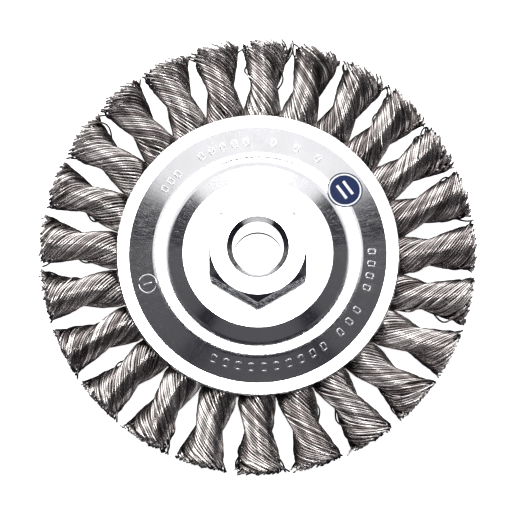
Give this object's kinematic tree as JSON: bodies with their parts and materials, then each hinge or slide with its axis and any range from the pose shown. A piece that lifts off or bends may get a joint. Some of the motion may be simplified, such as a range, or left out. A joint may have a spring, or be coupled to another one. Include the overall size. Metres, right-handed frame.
{
  "type": "twist-knot wire wheel",
  "caption": "Twist-knot wire wheel brush for an angle grinder: twisted steel wire knots clamped between two stamped plates on a threaded hexagon hub.",
  "frame": {"origin": "on the spin axis, in the mid-plane of the retaining disc", "axes": "+Z along the spin axis, out of the hub nut towards the grinder; +X across two flats of the nut"},
  "size_m": [0.115, 0.115, 0.0283],
  "materials": {
    "plate_zinc": "bright zinc plate, satin",
    "hub_zinc": "bright zinc plate over a turned and drawn hexagon",
    "disc_steel": "plain mill steel",
    "knot_wire": "drawn high-carbon steel wire, lightly oiled",
    "label_vinyl": "printed vinyl"
  },
  "bodies": {
    "root": {"back_plate": "plate_zinc", "back_spacer": "disc_steel", "front_plate": "plate_zinc", "front_spacer": "disc_steel", "hub_nut": "hub_zinc", "knot_01": "knot_wire", "knot_02": "knot_wire", "knot_03": "knot_wire", "knot_04": "knot_wire", "knot_05": "knot_wire", "knot_06": "knot_wire", "knot_07": "knot_wire", "knot_08": "knot_wire", "knot_09": "knot_wire", "knot_10": "knot_wire", "knot_11": "knot_wire", "knot_12": "knot_wire", "knot_13": "knot_wire", "knot_14": "knot_wire", "knot_15": "knot_wire", "knot_16": "knot_wire", "knot_17": "knot_wire", "knot_18": "knot_wire", "knot_19": "knot_wire", "knot_20": "knot_wire", "knot_21": "knot_wire", "knot_22": "knot_wire", "knot_23": "knot_wire", "knot_24": "knot_wire", "retaining_disc": "disc_steel", "round_label": "label_vinyl"}
  },
  "joints": []
}
